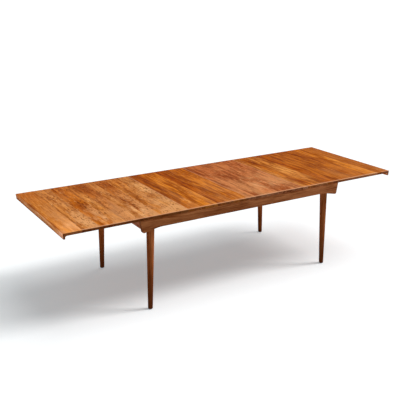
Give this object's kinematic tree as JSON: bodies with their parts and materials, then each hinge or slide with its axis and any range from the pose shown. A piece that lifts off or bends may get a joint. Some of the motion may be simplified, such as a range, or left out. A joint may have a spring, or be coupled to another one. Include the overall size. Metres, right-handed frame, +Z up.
{
  "type": "extension dining table",
  "caption": "Long wooden extension dining table: a split top on sliding runners, loose insert leaves, swept aprons and splayed round tapered legs.",
  "frame": {"origin": "on the floor under the middle of the table", "axes": "+X along the table, to the right in the picture; +Y to its back; +Z up"},
  "size_m": [2.891, 1, 0.725],
  "materials": {
    "top_wood": "oiled satin",
    "frame_wood": "oiled satin",
    "slide_wood": "waxed",
    "peg_wood": "plain",
    "steel": "zinc plated",
    "glide": "dark brown"
  },
  "bodies": {
    "base": {"back_apron": "frame_wood", "back_guide_rail": "slide_wood", "back_left_leg": "frame_wood", "back_left_leg_block": "slide_wood", "back_right_leg": "frame_wood", "back_right_leg_block": "slide_wood", "bearer_dowels": "peg_wood", "end_apron_dowels": "peg_wood", "foot_glides": "glide", "front_apron": "frame_wood", "front_guide_rail": "slide_wood", "front_left_leg": "frame_wood", "front_left_leg_block": "slide_wood", "front_right_leg": "frame_wood", "front_right_leg_block": "slide_wood", "guide_rail_dowels": "peg_wood", "guide_rail_screws": "steel", "left_cross_bearer": "slide_wood", "left_end_apron": "frame_wood", "leg_block_screws": "steel", "leg_bolts": "steel", "leg_nuts": "steel", "leg_washers": "steel", "right_cross_bearer": "slide_wood", "right_end_apron": "frame_wood"},
    "left_top": {"left_end_lip": "top_wood", "left_runner_screws": "steel", "left_stop_pegs": "peg_wood", "left_top_back_runner": "slide_wood", "left_top_board": "top_wood", "left_top_front_runner": "slide_wood"},
    "right_top": {"right_end_lip": "top_wood", "right_runner_screws": "steel", "right_stop_pegs": "peg_wood", "right_top_back_runner": "slide_wood", "right_top_board": "top_wood", "right_top_front_runner": "slide_wood"},
    "left_leaf": {"left_leaf_back_batten": "slide_wood", "left_leaf_board": "top_wood", "left_leaf_front_batten": "slide_wood", "left_leaf_middle_batten": "slide_wood", "left_leaf_pegs": "peg_wood", "left_leaf_screws": "steel"},
    "right_leaf": {"right_leaf_back_batten": "slide_wood", "right_leaf_board": "top_wood", "right_leaf_front_batten": "slide_wood", "right_leaf_middle_batten": "slide_wood", "right_leaf_pegs": "peg_wood", "right_leaf_screws": "steel"}
  },
  "joints": [
    {"name": "left_top_slide", "type": "slide", "parent": "base", "child": "left_top", "axis": [-1, 0, 0], "range_m": [0, 0.06]},
    {"name": "right_top_slide", "type": "slide", "parent": "base", "child": "right_top", "axis": [1, 0, 0], "range_m": [0, 0.06]},
    {"name": "left_leaf_lift", "type": "slide", "parent": "base", "child": "left_leaf", "axis": [0, 0, 1], "range_m": [0, 0.3]},
    {"name": "right_leaf_lift", "type": "slide", "parent": "base", "child": "right_leaf", "axis": [0, 0, 1], "range_m": [0, 0.3]}
  ]
}
